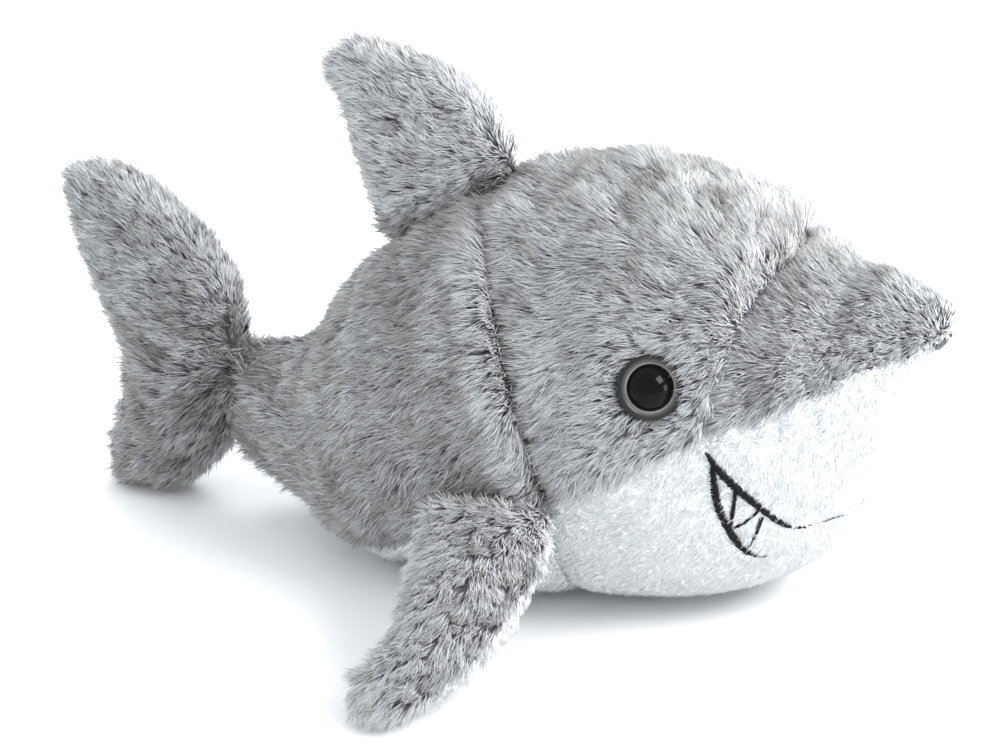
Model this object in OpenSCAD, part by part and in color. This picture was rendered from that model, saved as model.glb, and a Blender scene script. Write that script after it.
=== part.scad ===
// Plush shark, about 20 cm long, as an assembly of sewn panels, fins, safety eyes and filling.
// +X is the nose, +Y the shark's left side, +Z up. The origin is under the middle of the toy.

/* [Body] */
// Length of the body from the tail seam to the tip of the nose
body_len = 160.5; // [130:0.5:200]
// Width of the body at its widest
body_w = 86; // [70:1:110]
// Height of the body at its highest
body_h = 91; // [74:1:115]
// How far the toy's weight presses its belly flat
belly_press = 1.0; // [0.4:0.1:2]
// Thickness of the plush cloth, backing and root of the pile together
cloth_t = 1.6; // [1:0.1:2.4]
// Clearance between the filling and the cloth around it
fill_gap = 0.3; // [0.2:0.05:0.6]

/* [Fins] */
// Clearance between a sewn-on fin and the body panel beside it
fin_gap = 0.7; // [0.4:0.1:1.2]
// Thickness of a fin where it is pinched into its seam
root_t = 4.0; // [3.6:0.1:6]
// Length of the dorsal fin's base along the back
dorsal_base = 34; // [28:1:42]
// Height of the dorsal fin above its base
dorsal_h = 40; // [30:0.5:48]
// Thickness of the dorsal fin at its fattest
dorsal_t = 15; // [11:1:20]
// Span of a pectoral fin from its root to its tip
pectoral_span = 53; // [42:1:66]
// Width of a pectoral fin at its root
pectoral_chord = 29; // [24:1:36]
// Thickness of a pectoral fin at its fattest
pectoral_t = 14; // [10:1:18]
// Slope of a pectoral fin below the horizontal
pectoral_slope = 28; // [18:0.5:29]
// How far the tail fin reaches behind the tail seam
fluke_reach = 41; // [33:0.5:50]
// Height of the tail fin from the lower tip to the upper tip
fluke_h = 75; // [61:1:92]
// Thickness of the tail fin at its fattest
fluke_t = 16; // [12:1:20]

/* [Eyes] */
// Diameter of the eye's ring
eye_d = 13.4; // [10:0.1:16]
// Diameter of the black dome in the ring
pupil_d = 9.4; // [7:0.1:12]
// Diameter of the post behind the eye
post_d = 4.0; // [3:0.1:5]
// Length of the post
post_len = 13; // [9:0.5:16]
// Diameter of the lock washer pressed on to the post
washer_d = 13; // [10:0.5:16]
// Thickness of the lock washer
washer_t = 1.4; // [1:0.1:2]

/* [Mouth] */
// Width of the satin stitch on the lips
lip_t = 1.6; // [1:0.1:2.4]
// Width of the stitched lines of the teeth
tooth_t = 0.9; // [0.6:0.1:1.4]

/* [Hidden] */

GREY = [0.57, 0.59, 0.63];
WHITE = [0.93, 0.96, 0.98];
FIBRE = [0.97, 0.97, 0.95];
RING = [0.45, 0.47, 0.49];
BLACK = [0.02, 0.02, 0.02];
THREAD = [0.05, 0.05, 0.06];

toy_len = body_len + fin_gap + fluke_reach;
nose_x = toy_len / 2;
seam_x = nose_x - body_len;

// The body's sections from the tail seam to the nose: place along the body, height of the
// widest line, half width, height above and depth below that line, and the roundness of the
// upper and the lower half (1 is an ellipse, less is squarer). Lengths are shares of the body's.
BODY = [
    [0.000, 0.318, 0.064, 0.120, 0.185, 0.95, 0.90],
    [0.030, 0.315, 0.095, 0.130, 0.215, 0.95, 0.85],
    [0.070, 0.313, 0.135, 0.145, 0.235, 0.95, 0.78],
    [0.130, 0.322, 0.212, 0.200, 0.268, 0.95, 0.70],
    [0.212, 0.362, 0.335, 0.357, 0.342, 0.95, 0.62],
    [0.324, 0.412, 0.430, 0.456, 0.405, 0.95, 0.64],
    [0.461, 0.450, 0.485, 0.522, 0.446, 0.95, 0.76],
    [0.598, 0.483, 0.500, 0.517, 0.483, 0.95, 0.86],
    [0.710, 0.505, 0.465, 0.440, 0.481, 0.95, 0.88],
    [0.803, 0.533, 0.384, 0.324, 0.453, 0.95, 0.88],
    [0.866, 0.571, 0.291, 0.238, 0.395, 0.95, 0.90],
    [0.910, 0.626, 0.192, 0.181, 0.280, 0.95, 0.92],
    [0.941, 0.676, 0.122, 0.126, 0.125, 0.95, 0.95],
    [0.972, 0.709, 0.080, 0.083, 0.062, 1.00, 1.00],
    [0.993, 0.722, 0.048, 0.053, 0.040, 1.00, 1.00],
    [1.000, 0.724, 0.006, 0.005, 0.005, 1.00, 1.00]
];
LAST = len(BODY) - 1;

// A smooth curve through the rows of a table, read at u = 0 for the first row, 1 for the next.
function curve(tab, u) =
    let (
        n = len(tab),
        i = min(max(floor(u), 0), n - 2),
        f = u - i,
        b = tab[i],
        c = tab[i + 1],
        a = i > 0 ? tab[i - 1] : 2 * b - c,
        d = i < n - 2 ? tab[i + 2] : 2 * c - b
    )
    0.5 * (2 * b + (c - a) * f + (2 * a - 5 * b + 4 * c - d) * f * f
        + (3 * b - a - 3 * c + d) * f * f * f);

function blend(a, b, f) = a + (b - a) * f;
function unit(v) = v / norm(v);
function signed_pow(v, p) = sign(v) * pow(abs(v), p);
// A half width less the depth, which never closes up where the shape is thinner than that.
function inset(r, depth) = max(r - depth, 0.35 * r);

// A point of the body's skin: u picks the section, angle runs round it (0 left, 90 top,
// 180 right, 270 bottom), and depth is how far it lies under the surface. The belly is
// pressed flat on the plane z = 0.
function skin(u, angle, depth = 0) =
    let (
        s = curve(BODY, u),
        up = sin(angle) >= 0,
        p = up ? s[5] : s[6],
        half_w = inset(s[2] * body_w, depth),
        half_h = inset((up ? s[3] : s[4]) * body_h, depth),
        z = s[1] * body_h + half_h * signed_pow(sin(angle), p) - belly_press
    )
    [
        min(seam_x + s[0] * body_len, nose_x - depth),
        half_w * signed_pow(cos(angle), p),
        max(z, depth)
    ];

// The direction straight out of the skin.
function skin_out(u, angle) =
    let (
        along = skin(u + 0.05, angle) - skin(u - 0.05, angle),
        around = skin(u, angle + 1) - skin(u, angle - 1)
    )
    unit(cross(around, along));

// The seam between grey and white, as an angle at each section.
WHITE_EDGE = [
    [236], [236], [236], [234], [229], [209], [197], [185], [177], [168], [164], [168],
    [184], [200], [235], [266]
];
function white_edge(u) = curve(WHITE_EDGE, u)[0];

// The two seams that cross the side of the head: t is 0 at the top, 1 at the white edge.
function gill_u(t) = 5.35 + 1.25 * t;
function nose_u(t) = 9.05 - 0.72 * pow(t, 0.9);
JAW_END = 14.6;

// A closed shell between an outer and an inner grid of points.
module shell(outer, inner) {
    rows = len(outer) - 1;
    cols = len(outer[0]) - 1;
    w = cols + 1;
    k = (rows + 1) * w;
    points = concat([for (r = outer) each r], [for (r = inner) each r]);
    faces = concat(
        [for (i = [0:rows - 1], j = [0:cols - 1]) each [
            [i * w + j, i * w + j + 1, (i + 1) * w + j + 1],
            [i * w + j, (i + 1) * w + j + 1, (i + 1) * w + j],
            [k + i * w + j, k + (i + 1) * w + j + 1, k + i * w + j + 1],
            [k + i * w + j, k + (i + 1) * w + j, k + (i + 1) * w + j + 1]
        ]],
        [for (i = [0:rows - 1]) each [
            [i * w, (i + 1) * w, k + (i + 1) * w],
            [i * w, k + (i + 1) * w, k + i * w],
            [i * w + cols, k + (i + 1) * w + cols, (i + 1) * w + cols],
            [i * w + cols, k + i * w + cols, k + (i + 1) * w + cols]
        ]],
        [for (j = [0:cols - 1]) each [
            [j, k + j + 1, j + 1],
            [j, k + j, k + j + 1],
            [rows * w + j, rows * w + j + 1, k + rows * w + j + 1],
            [rows * w + j, k + rows * w + j + 1, k + rows * w + j]
        ]]
    );
    polyhedron(points, faces, convexity = 8);
}

// A closed solid through rings of points, with flat ends.
module solid(rings) {
    rows = len(rings) - 1;
    n = len(rings[0]);
    faces = concat(
        [for (i = [0:rows - 1], j = [0:n - 1]) each [
            [i * n + j, i * n + (j + 1) % n, (i + 1) * n + (j + 1) % n],
            [i * n + j, (i + 1) * n + (j + 1) % n, (i + 1) * n + j]
        ]],
        [for (j = [1:n - 2]) each [
            [0, j + 1, j],
            [rows * n, rows * n + j, rows * n + j + 1]
        ]]
    );
    polyhedron([for (r = rings) each r], faces, convexity = 8);
}

// A panel of the body: points(s, t) gives a section and an angle, where s runs forward and t
// runs the way the angle grows. The columns go in backwards, so that the faces point outward.
module body_patch(s_steps, t_steps, points) {
    grid = function(depth) [for (i = [0:s_steps]) [for (j = [0:t_steps])
        let (q = points(i / s_steps, 1 - j / t_steps)) skin(q[0], q[1], depth)]];
    shell(grid(0), grid(cloth_t));
}

module left_of_right() mirror([0, 1, 0]) children();

// --- body panels -------------------------------------------------------------------------

// Snout and brow in one piece, from the seam above the eyes to the tip of the nose.
module nose_panel() {
    // t runs from the left white edge over the top to the right one
    color(GREY) body_patch(14, 28, function(s, t)
        let (
            side = abs(2 * t - 1),
            u = blend(nose_u(side), LAST, pow(s, 0.85)),
            edge = white_edge(u)
        )
        [u, blend(180 - edge, edge, t)]);
}

// Side of the head from the gill seam to the nose seam, with the hole for the eye's post.
module head_panel_right() {
    color(GREY) difference() {
        body_patch(12, 16, function(s, t)
            let (u = blend(gill_u(t), nose_u(t), s)) [u, blend(90, white_edge(u), t)]);
        eye_frame() cylinder(d = post_d + 0.3, h = 12, center = true, $fn = 32);
    }
}
module head_panel_left() left_of_right() head_panel_right();

// Side of the body from the tail seam to the gill seam.
module body_panel_right() {
    color(GREY) body_patch(18, 16, function(s, t)
        let (u = blend(0, gill_u(t), s)) [u, blend(90, white_edge(u), t)]);
}
module body_panel_left() left_of_right() body_panel_right();

// White cheek, jaw and chest on one side, sewn to its twin along the middle.
module jaw_panel_right() {
    color(WHITE) body_patch(20, 12, function(s, t)
        let (u = blend(gill_u(1), JAW_END, s)) [u, blend(white_edge(u), 270, t)]);
}
module jaw_panel_left() left_of_right() jaw_panel_right();

// White belly in one piece, behind the jaw panels.
module belly_panel() {
    color(WHITE) body_patch(16, 18, function(s, t)
        let (u = blend(0, gill_u(1), s), edge = white_edge(u))
        [u, blend(edge, 540 - edge, t)]);
}

// Polyester filling, with pockets for the backs of the eyes.
module body_filling() {
    depth = cloth_t + fill_gap;
    color(FIBRE) difference() {
        solid([for (i = [0:30]) let (u = i * (LAST - 2) / 30)
            [for (j = [0:23]) skin(u, -15 * j, depth)]]);
        for (side = [0, 1]) mirror([0, side, 0]) eye_frame()
            translate([0, 0, -post_len - 4])
            cylinder(d = washer_d + 1, h = post_len + 4, $fn = 48);
    }
}

// --- eyes --------------------------------------------------------------------------------

// The right eye's place: its section of the body and its angle round it.
EYE_U = 7.65;
EYE_ANGLE = 160;
eye_at = skin(EYE_U, EYE_ANGLE);
EYE_TILT = [0.20, 0, 0.10];
eye_normal = skin_out(EYE_U, EYE_ANGLE);
eye_out = unit(eye_normal + EYE_TILT);
// How far the skin at a distance r from the eye's middle can lie behind it.
function eye_fall(r) = r * tan(acos(eye_out * eye_normal)) + r * r / body_w;
// The ring's back sits on the skin on its high side.
eye_lift = 0.6;

// Puts a child that stands on the origin on the skin at the right eye, facing out.
module eye_frame() {
    z = eye_out;
    x = unit(cross([0, 0, 1], z));
    y = cross(z, x);
    o = eye_at + z * eye_lift;
    multmatrix([
        [x[0], y[0], z[0], o[0]],
        [x[1], y[1], z[1], o[1]],
        [x[2], y[2], z[2], o[2]],
        [0, 0, 0, 1]
    ]) children();
}

ring_t = 1.8;
// The dome always leaves the ring a rim of its own.
dome_d = min(pupil_d, eye_d - 3);
cup_r = dome_d / 2 + 0.1;
cup_z = 0.7;

// Ring of the eye: a low rounded rim that slopes in to the cup of the dome.
module eye_ring_right() {
    color(RING) eye_frame() rotate_extrude($fn = 64) polygon([
        [post_d / 2 + 0.05, 0.25],
        [eye_d / 2 - 1.0, 0.25],
        [eye_d / 2 - 0.2, 0.6],
        [eye_d / 2, 1.1],
        [eye_d / 2 - 0.15, 1.6],
        [eye_d / 2 - 0.6, 1.95],
        [eye_d / 2 - 1.2, ring_t],
        [cup_r, 1.3],
        [cup_r, cup_z],
        [post_d / 2 + 0.05, cup_z]
    ]);
}
module eye_ring_left() left_of_right() eye_ring_right();

// Black dome: a cap of a ball on a short straight foot.
dome_rise = 2.7;
dome_foot = 0.7;
dome_ball = (pow(dome_d / 2, 2) + pow(dome_rise, 2)) / (2 * dome_rise);
dome_half = asin(dome_d / 2 / dome_ball);
module eye_dome_right() {
    color(BLACK) eye_frame() translate([0, 0, cup_z + 0.02]) rotate_extrude($fn = 64)
        polygon(concat(
            [[0, 0], [dome_d / 2, 0]],
            [for (k = [0:12]) let (a = dome_half * (1 - k / 12))
                [dome_ball * sin(a), dome_foot + dome_ball * (cos(a) - cos(dome_half))]]
        ));
}
module eye_dome_left() left_of_right() eye_dome_right();

// Post: a ridged pin that runs in from the dome through the cloth.
ridge = 0.25;
ridge_step = 1.5;
module eye_post_right() {
    color(BLACK) eye_frame() rotate_extrude($fn = 32) polygon(concat(
        [[0, cup_z], [post_d / 2, cup_z]],
        [for (k = [0:floor((post_len - 4) / ridge_step)]) each [
            [post_d / 2, -3 - k * ridge_step],
            [post_d / 2 - ridge, -3 - k * ridge_step - 0.1]
        ]],
        [[post_d / 2 - ridge - 0.2, -post_len], [0, -post_len]]
    ));
}
module eye_post_left() left_of_right() eye_post_right();

// Lock washer, pushed up the post against the back of the cloth.
module eye_washer_right() {
    color(FIBRE) eye_frame() translate([0, 0, -cloth_t - washer_seat - washer_t])
        difference() {
            cylinder(d = washer_d, h = washer_t, $fn = 48);
            translate([0, 0, -1]) cylinder(d = post_d + 0.1, h = washer_t + 2, $fn = 32);
        }
}
module eye_washer_left() left_of_right() eye_washer_right();
washer_seat = eye_fall(washer_d / 2) + eye_lift + 0.3;

// --- mouth -------------------------------------------------------------------------------

// A stitched line: a row of [section, angle] points on the skin, carried along as a low tube.
module stitch(path, width) {
    steps = 3 * (len(path) - 1);
    lift = width / 2 + 0.05;
    line = [for (k = [0:steps])
        let (q = curve(path, k / 3)) skin(q[0], q[1]) + lift * skin_out(q[0], q[1])];
    solid([for (k = [0:steps])
        let (
            along = unit(line[min(k + 1, steps)] - line[max(k - 1, 0)]),
            q = curve(path, k / 3),
            out = skin_out(q[0], q[1]),
            side = unit(cross(along, out)),
            up = cross(side, along)
        )
        [for (j = [0:7]) line[k] + width / 2 * (side * cos(45 * j) + up * sin(45 * j))]]);
}

// The right half of each line, from the corner of the mouth to the middle of the jaw.
UPPER_LIP = [
    [8.35, 179], [8.60, 186], [9.00, 197], [9.45, 211], [9.90, 221], [10.25, 232], [10.42, 250]
];
LOWER_LIP = [[8.43, 184.8], [8.48, 192], [8.60, 202], [8.75, 212], [8.95, 219], [9.12, 221]];
TEETH = [
    [[8.68, 191], [8.68, 195], [8.66, 199]],
    [[8.70, 202], [8.84, 201], [8.99, 199.5]],
    [[9.05, 202], [8.95, 207], [8.84, 211.5]],
    [[8.87, 213], [8.96, 214], [9.05, 213]]
];
// Mirrors a half line to the left side and joins the two at the middle.
function whole_line(half) = concat(half, [for (k = [1:len(half)])
    let (q = half[len(half) - k]) [q[0], 540 - q[1]]]);

module upper_lip() color(THREAD) stitch(whole_line(UPPER_LIP), lip_t);
module lower_lip() color(THREAD) for (side = [0, 1]) mirror([0, side, 0])
    stitch(LOWER_LIP, lip_t);
module teeth() color(THREAD) for (side = [0, 1]) mirror([0, side, 0])
    for (line = TEETH) stitch(line, tooth_t);

// --- fins --------------------------------------------------------------------------------

// A fin's table runs from its root to its tip: height, middle of the chord, half chord and
// half thickness. A point of it lies at an angle round the section (0 front, 180 rear).
function fin_local(tab, v, angle, depth) =
    let (s = curve(tab, v))
    [s[1] + inset(s[2], depth) * cos(angle), s[0], inset(s[3], depth) * signed_pow(sin(angle), 0.9)];
function place(frame, p) = frame[0] + frame[1] * p[0] + frame[2] * p[1] + frame[3] * p[2];

module fin_panel(tab, frame, side, rows, cols) {
    grid = function(depth) [for (i = [0:rows]) [for (j = [0:cols])
        place(frame, fin_local(tab, i * (len(tab) - 1) / rows, side * 180 * j / cols, depth))]];
    if (side > 0) shell(grid(cloth_t), grid(0));
    else shell(grid(0), grid(cloth_t));
}

module fin_filling(tab, frame, rows, cols) {
    depth = cloth_t + fill_gap;
    solid([for (i = [0:rows]) [for (j = [0:cols - 1])
        place(frame, fin_local(tab, i * (len(tab) - 1.6) / rows, -360 * j / cols, depth))]]);
}

// Dorsal fin: its base follows the back, and it leans to the rear.
function dorsal_row(h, mid, half, t) =
    [h * dorsal_h, mid * dorsal_base, half * dorsal_base, t];
DORSAL = [
    dorsal_row(0.00, 0.01, 0.50, root_t / 2),
    dorsal_row(0.10, 0.05, 0.52, dorsal_t * 0.38),
    dorsal_row(0.22, 0.08, 0.51, dorsal_t * 0.47),
    dorsal_row(0.43, 0.10, 0.46, dorsal_t * 0.50),
    dorsal_row(0.64, 0.09, 0.37, dorsal_t * 0.45),
    dorsal_row(0.78, 0.04, 0.29, dorsal_t * 0.38),
    dorsal_row(0.90, -0.03, 0.22, dorsal_t * 0.29),
    dorsal_row(0.97, -0.05, 0.13, dorsal_t * 0.18),
    dorsal_row(1.00, -0.05, 0.02, dorsal_t * 0.04)
];
DORSAL_REAR_U = 4.05;
DORSAL_FRONT_U = 5.72;
dorsal_rear = skin(DORSAL_REAR_U, 90);
dorsal_front = skin(DORSAL_FRONT_U, 90);
dorsal_along = unit(dorsal_front - dorsal_rear);
dorsal_up = [-dorsal_along[2], 0, dorsal_along[0]];
dorsal_swell = max([for (k = [0:10])
    (skin(blend(DORSAL_REAR_U, DORSAL_FRONT_U, k / 10), 90) - dorsal_rear) * dorsal_up]);
dorsal_base_at = (dorsal_rear + dorsal_front) / 2 + dorsal_up * (dorsal_swell + fin_gap);
DORSAL_FRAME = [dorsal_base_at, dorsal_along, dorsal_up, [0, 1, 0]];

module dorsal_panel_right() color(GREY) fin_panel(DORSAL, DORSAL_FRAME, -1, 16, 14);
module dorsal_panel_left() color(GREY) fin_panel(DORSAL, DORSAL_FRAME, 1, 16, 14);
module dorsal_filling() color(FIBRE) fin_filling(DORSAL, DORSAL_FRAME, 12, 16);

// Tail fin: two lobes above and below the tail seam, with its front pinched into the seam.
// Its table runs upward, with the chord along the body.
function fluke_row(h, front, rear, t) = [
    h * fluke_h,
    -(front + rear) / 2 * fluke_reach,
    (rear - front) / 2 * fluke_reach,
    t * fluke_t
];
FLUKE = [
    fluke_row(0.000, 0.64, 0.68, 0.02),
    fluke_row(0.015, 0.54, 0.77, 0.18),
    fluke_row(0.060, 0.37, 0.82, 0.33),
    fluke_row(0.140, 0.20, 0.82, 0.43),
    fluke_row(0.240, 0.06, 0.77, 0.49),
    fluke_row(0.370, 0.00, 0.73, 0.50),
    fluke_row(0.500, 0.00, 0.76, 0.50),
    fluke_row(0.640, 0.02, 0.85, 0.50),
    fluke_row(0.760, 0.13, 0.93, 0.47),
    fluke_row(0.860, 0.30, 0.98, 0.42),
    fluke_row(0.940, 0.50, 1.00, 0.35),
    fluke_row(0.985, 0.66, 0.96, 0.20),
    fluke_row(1.000, 0.80, 0.84, 0.02)
];
FLUKE_FRAME = [[seam_x - fin_gap, 0, 0], [1, 0, 0], [0, 0, 1], [0, 1, 0]];
// The front of the tail fin narrows towards the seam like the pinched end of a cushion.
pinch_len = 11;
function pinch(p) =
    let (f = min(max((seam_x - fin_gap - p[0]) / pinch_len, 0), 1))
    [p[0], p[1] * blend(root_t / fluke_t, 1, sin(90 * f)), p[2]];
module fluke_panel(side) {
    rows = 26;
    cols = 16;
    grid = function(depth) [for (i = [0:rows]) [for (j = [0:cols])
        pinch(place(FLUKE_FRAME,
            fin_local(FLUKE, i * (len(FLUKE) - 1) / rows, side * 180 * j / cols, depth)))]];
    if (side > 0) shell(grid(cloth_t), grid(0));
    else shell(grid(0), grid(cloth_t));
}

module tail_panel_right() color(GREY) fluke_panel(-1);
module tail_panel_left() color(GREY) fluke_panel(1);
module tail_filling() {
    depth = cloth_t + fill_gap;
    color(FIBRE) solid([for (i = [0:18]) [for (j = [0:15])
        pinch(place(FLUKE_FRAME,
            fin_local(FLUKE, 0.8 + i * (len(FLUKE) - 2.6) / 18, -22.5 * j, depth)))]]);
}

// Pectoral fins: sewn into the side seam where grey meets white, sloping down and outward.
function pectoral_row(b, mid, half, t) =
    [b * pectoral_span, mid * pectoral_chord, half * pectoral_chord, t];
PECTORAL = [
    pectoral_row(0.00, 0.02, 0.50, root_t / 2),
    pectoral_row(0.08, 0.05, 0.51, pectoral_t * 0.36),
    pectoral_row(0.18, 0.09, 0.51, pectoral_t * 0.46),
    pectoral_row(0.36, 0.13, 0.47, pectoral_t * 0.50),
    pectoral_row(0.56, 0.11, 0.42, pectoral_t * 0.48),
    pectoral_row(0.74, 0.01, 0.37, pectoral_t * 0.42),
    pectoral_row(0.87, -0.10, 0.31, pectoral_t * 0.35),
    pectoral_row(0.96, -0.13, 0.19, pectoral_t * 0.22),
    pectoral_row(1.00, -0.13, 0.02, pectoral_t * 0.04)
];
PECTORAL_REAR_U = 5.22;
PECTORAL_FRONT_U = 6.72;
PECTORAL_ANGLE = 190;
pectoral_rear = skin(PECTORAL_REAR_U, PECTORAL_ANGLE);
pectoral_front = skin(PECTORAL_FRONT_U, PECTORAL_ANGLE);
pectoral_along = unit(pectoral_front - pectoral_rear);
// The fin slopes no further than lets its tip touch the floor.
pectoral_root_z = (pectoral_rear[2] + pectoral_front[2]) / 2;
pectoral_low = asin((pectoral_root_z - 0.1 * pectoral_t) / (pectoral_span + 5));
pectoral_fall = min(pectoral_slope, pectoral_low);
pectoral_out = unit([-0.10, -cos(pectoral_fall), -sin(pectoral_fall)]);
pectoral_thick = unit(cross(pectoral_out, pectoral_along));
pectoral_span_dir = cross(pectoral_along, pectoral_thick);
pectoral_swell = max([for (k = [0:10])
    (skin(blend(PECTORAL_REAR_U, PECTORAL_FRONT_U, k / 10), PECTORAL_ANGLE) - pectoral_rear)
        * pectoral_span_dir]);
pectoral_at = (pectoral_rear + pectoral_front) / 2
    + pectoral_span_dir * (pectoral_swell + fin_gap + root_t / 4);
PECTORAL_FRAME = [pectoral_at, pectoral_along, pectoral_span_dir, pectoral_thick];

module pectoral_top_right() color(GREY) fin_panel(PECTORAL, PECTORAL_FRAME, 1, 16, 14);
module pectoral_under_right() color(WHITE) fin_panel(PECTORAL, PECTORAL_FRAME, -1, 16, 14);
module pectoral_filling_right() color(FIBRE) fin_filling(PECTORAL, PECTORAL_FRAME, 12, 16);
module pectoral_top_left() left_of_right() pectoral_top_right();
module pectoral_under_left() left_of_right() pectoral_under_right();
module pectoral_filling_left() left_of_right() pectoral_filling_right();

nose_panel();
head_panel_right();
head_panel_left();
body_panel_right();
body_panel_left();
jaw_panel_right();
jaw_panel_left();
belly_panel();
body_filling();
eye_ring_right();
eye_ring_left();
eye_dome_right();
eye_dome_left();
eye_post_right();
eye_post_left();
eye_washer_right();
eye_washer_left();
upper_lip();
lower_lip();
teeth();
dorsal_panel_right();
dorsal_panel_left();
dorsal_filling();
tail_panel_right();
tail_panel_left();
tail_filling();
pectoral_top_right();
pectoral_under_right();
pectoral_filling_right();
pectoral_top_left();
pectoral_under_left();
pectoral_filling_left();
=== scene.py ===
import bpy
import numpy as np
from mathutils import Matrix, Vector


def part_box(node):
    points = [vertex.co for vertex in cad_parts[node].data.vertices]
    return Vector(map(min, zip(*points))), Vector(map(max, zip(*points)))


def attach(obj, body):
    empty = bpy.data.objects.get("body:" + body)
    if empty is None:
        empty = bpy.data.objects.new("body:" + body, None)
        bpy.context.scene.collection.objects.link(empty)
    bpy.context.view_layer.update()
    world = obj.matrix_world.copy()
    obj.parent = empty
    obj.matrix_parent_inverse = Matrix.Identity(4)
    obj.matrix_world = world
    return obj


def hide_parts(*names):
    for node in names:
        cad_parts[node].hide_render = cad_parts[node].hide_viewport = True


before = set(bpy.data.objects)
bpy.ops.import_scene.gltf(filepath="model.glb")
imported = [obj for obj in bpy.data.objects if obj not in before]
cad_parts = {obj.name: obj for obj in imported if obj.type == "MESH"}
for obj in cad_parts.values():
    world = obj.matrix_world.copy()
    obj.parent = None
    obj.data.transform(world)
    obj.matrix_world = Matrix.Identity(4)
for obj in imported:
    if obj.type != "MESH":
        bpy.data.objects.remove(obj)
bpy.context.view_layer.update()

MM = 0.001

# Camera: a long lens above the shark's right cheek, so that the snout points to the right and
# the near pectoral fin comes forward. Studio: a pale floor and soft light from big panels.
LOOK_FROM = (0.2328, -0.6046, 0.3237)
LOOK_AT = (0.0014, 0.0, 0.0388)
ROLL_DEG = -0.78
LENS_MM = 115.9
SENSOR_MM = 36.0


def unit(v):
    """v divided by its length, along the last axis."""
    return v / np.maximum(np.linalg.norm(v, axis=-1, keepdims=True), 1e-12)


def link(obj):
    """Puts a new object in the scene."""
    bpy.context.scene.collection.objects.link(obj)
    return obj


def aim(obj, at, target):
    """Stands a lamp or camera at a place, turned so that its -Z axis points at the target."""
    obj.location = Vector(at)
    obj.rotation_euler = (Vector(target) - Vector(at)).to_track_quat("-Z", "Y").to_euler()
    return obj


camera_data = bpy.data.cameras.new("camera")
camera_data.lens = LENS_MM
camera_data.sensor_width = SENSOR_MM
camera_data.clip_start = 0.05
camera_data.clip_end = 20.0
camera = aim(link(bpy.data.objects.new("camera", camera_data)), LOOK_FROM, LOOK_AT)
camera.rotation_euler.rotate_axis("Z", np.radians(ROLL_DEG))
bpy.context.scene.camera = camera
bpy.context.scene.view_settings.view_transform = "Standard"


def soft_light(name, at, target, width, height, watts, colour):
    """A rectangular studio panel of width by height metres that faces the target."""
    data = bpy.data.lights.new(name, "AREA")
    data.shape = "RECTANGLE"
    data.size = width
    data.size_y = height
    data.energy = watts
    data.color = colour
    return aim(link(bpy.data.objects.new(name, data)), at, target)


soft_light("key_panel", (0.80, -0.10, 0.75), (0.03, 0, 0.05), 0.45, 0.45, 9.0, (1.0, 0.99, 0.98))
soft_light("low_window", (1.05, 0.02, 0.16), (0.05, -0.03, 0.06), 0.30, 0.34, 2.6, (1.0, 1.0, 1.0))
soft_light("back_panel", (-0.1, 0.75, 0.75), (0, 0, 0.06), 0.8, 0.5, 5.0, (0.97, 0.99, 1.0))

world = bpy.data.worlds.new("studio")
world.use_nodes = True
world.node_tree.nodes["Background"].inputs["Color"].default_value = (0.96, 0.98, 1.0, 1.0)
world.node_tree.nodes["Background"].inputs["Strength"].default_value = 1.30
bpy.context.scene.world = world


def plain_material(name, colour, roughness, **sockets):
    """A Principled material with one colour; further sockets are set by name."""
    material = bpy.data.materials.new(name)
    material.use_nodes = True
    shader = material.node_tree.nodes["Principled BSDF"]
    shader.inputs["Base Color"].default_value = (*colour, 1.0)
    shader.inputs["Roughness"].default_value = roughness
    for socket, value in sockets.items():
        shader.inputs[socket.replace("_", " ")].default_value = value
    return material


floor_mesh = bpy.data.meshes.new("floor")
FLOOR_HALF = 3.0
FLOOR_DROP = -0.0004
floor_mesh.from_pydata(
    [(x, y, FLOOR_DROP) for x, y in ((-FLOOR_HALF, -FLOOR_HALF), (FLOOR_HALF, -FLOOR_HALF),
                                     (FLOOR_HALF, FLOOR_HALF), (-FLOOR_HALF, FLOOR_HALF))],
    [], [(0, 1, 2, 3)])
floor = link(bpy.data.objects.new("floor", floor_mesh))
floor_mesh.materials.append(plain_material("pale_floor", (0.93, 0.94, 0.95), 0.6))

# The stuffed body: cloth panels drawn tight over a core of polyester fibre. Its sections run
# from the tail seam to the tip of the nose, as shares of the body's length, width and height.
BODY_LEN = 160.5 * MM
BODY_WIDE = 86 * MM
BODY_TALL = 91 * MM
BELLY_PRESS = 1.0 * MM
NOSE_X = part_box("nose_panel")[1].x
SEAM_X = NOSE_X - BODY_LEN
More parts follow.
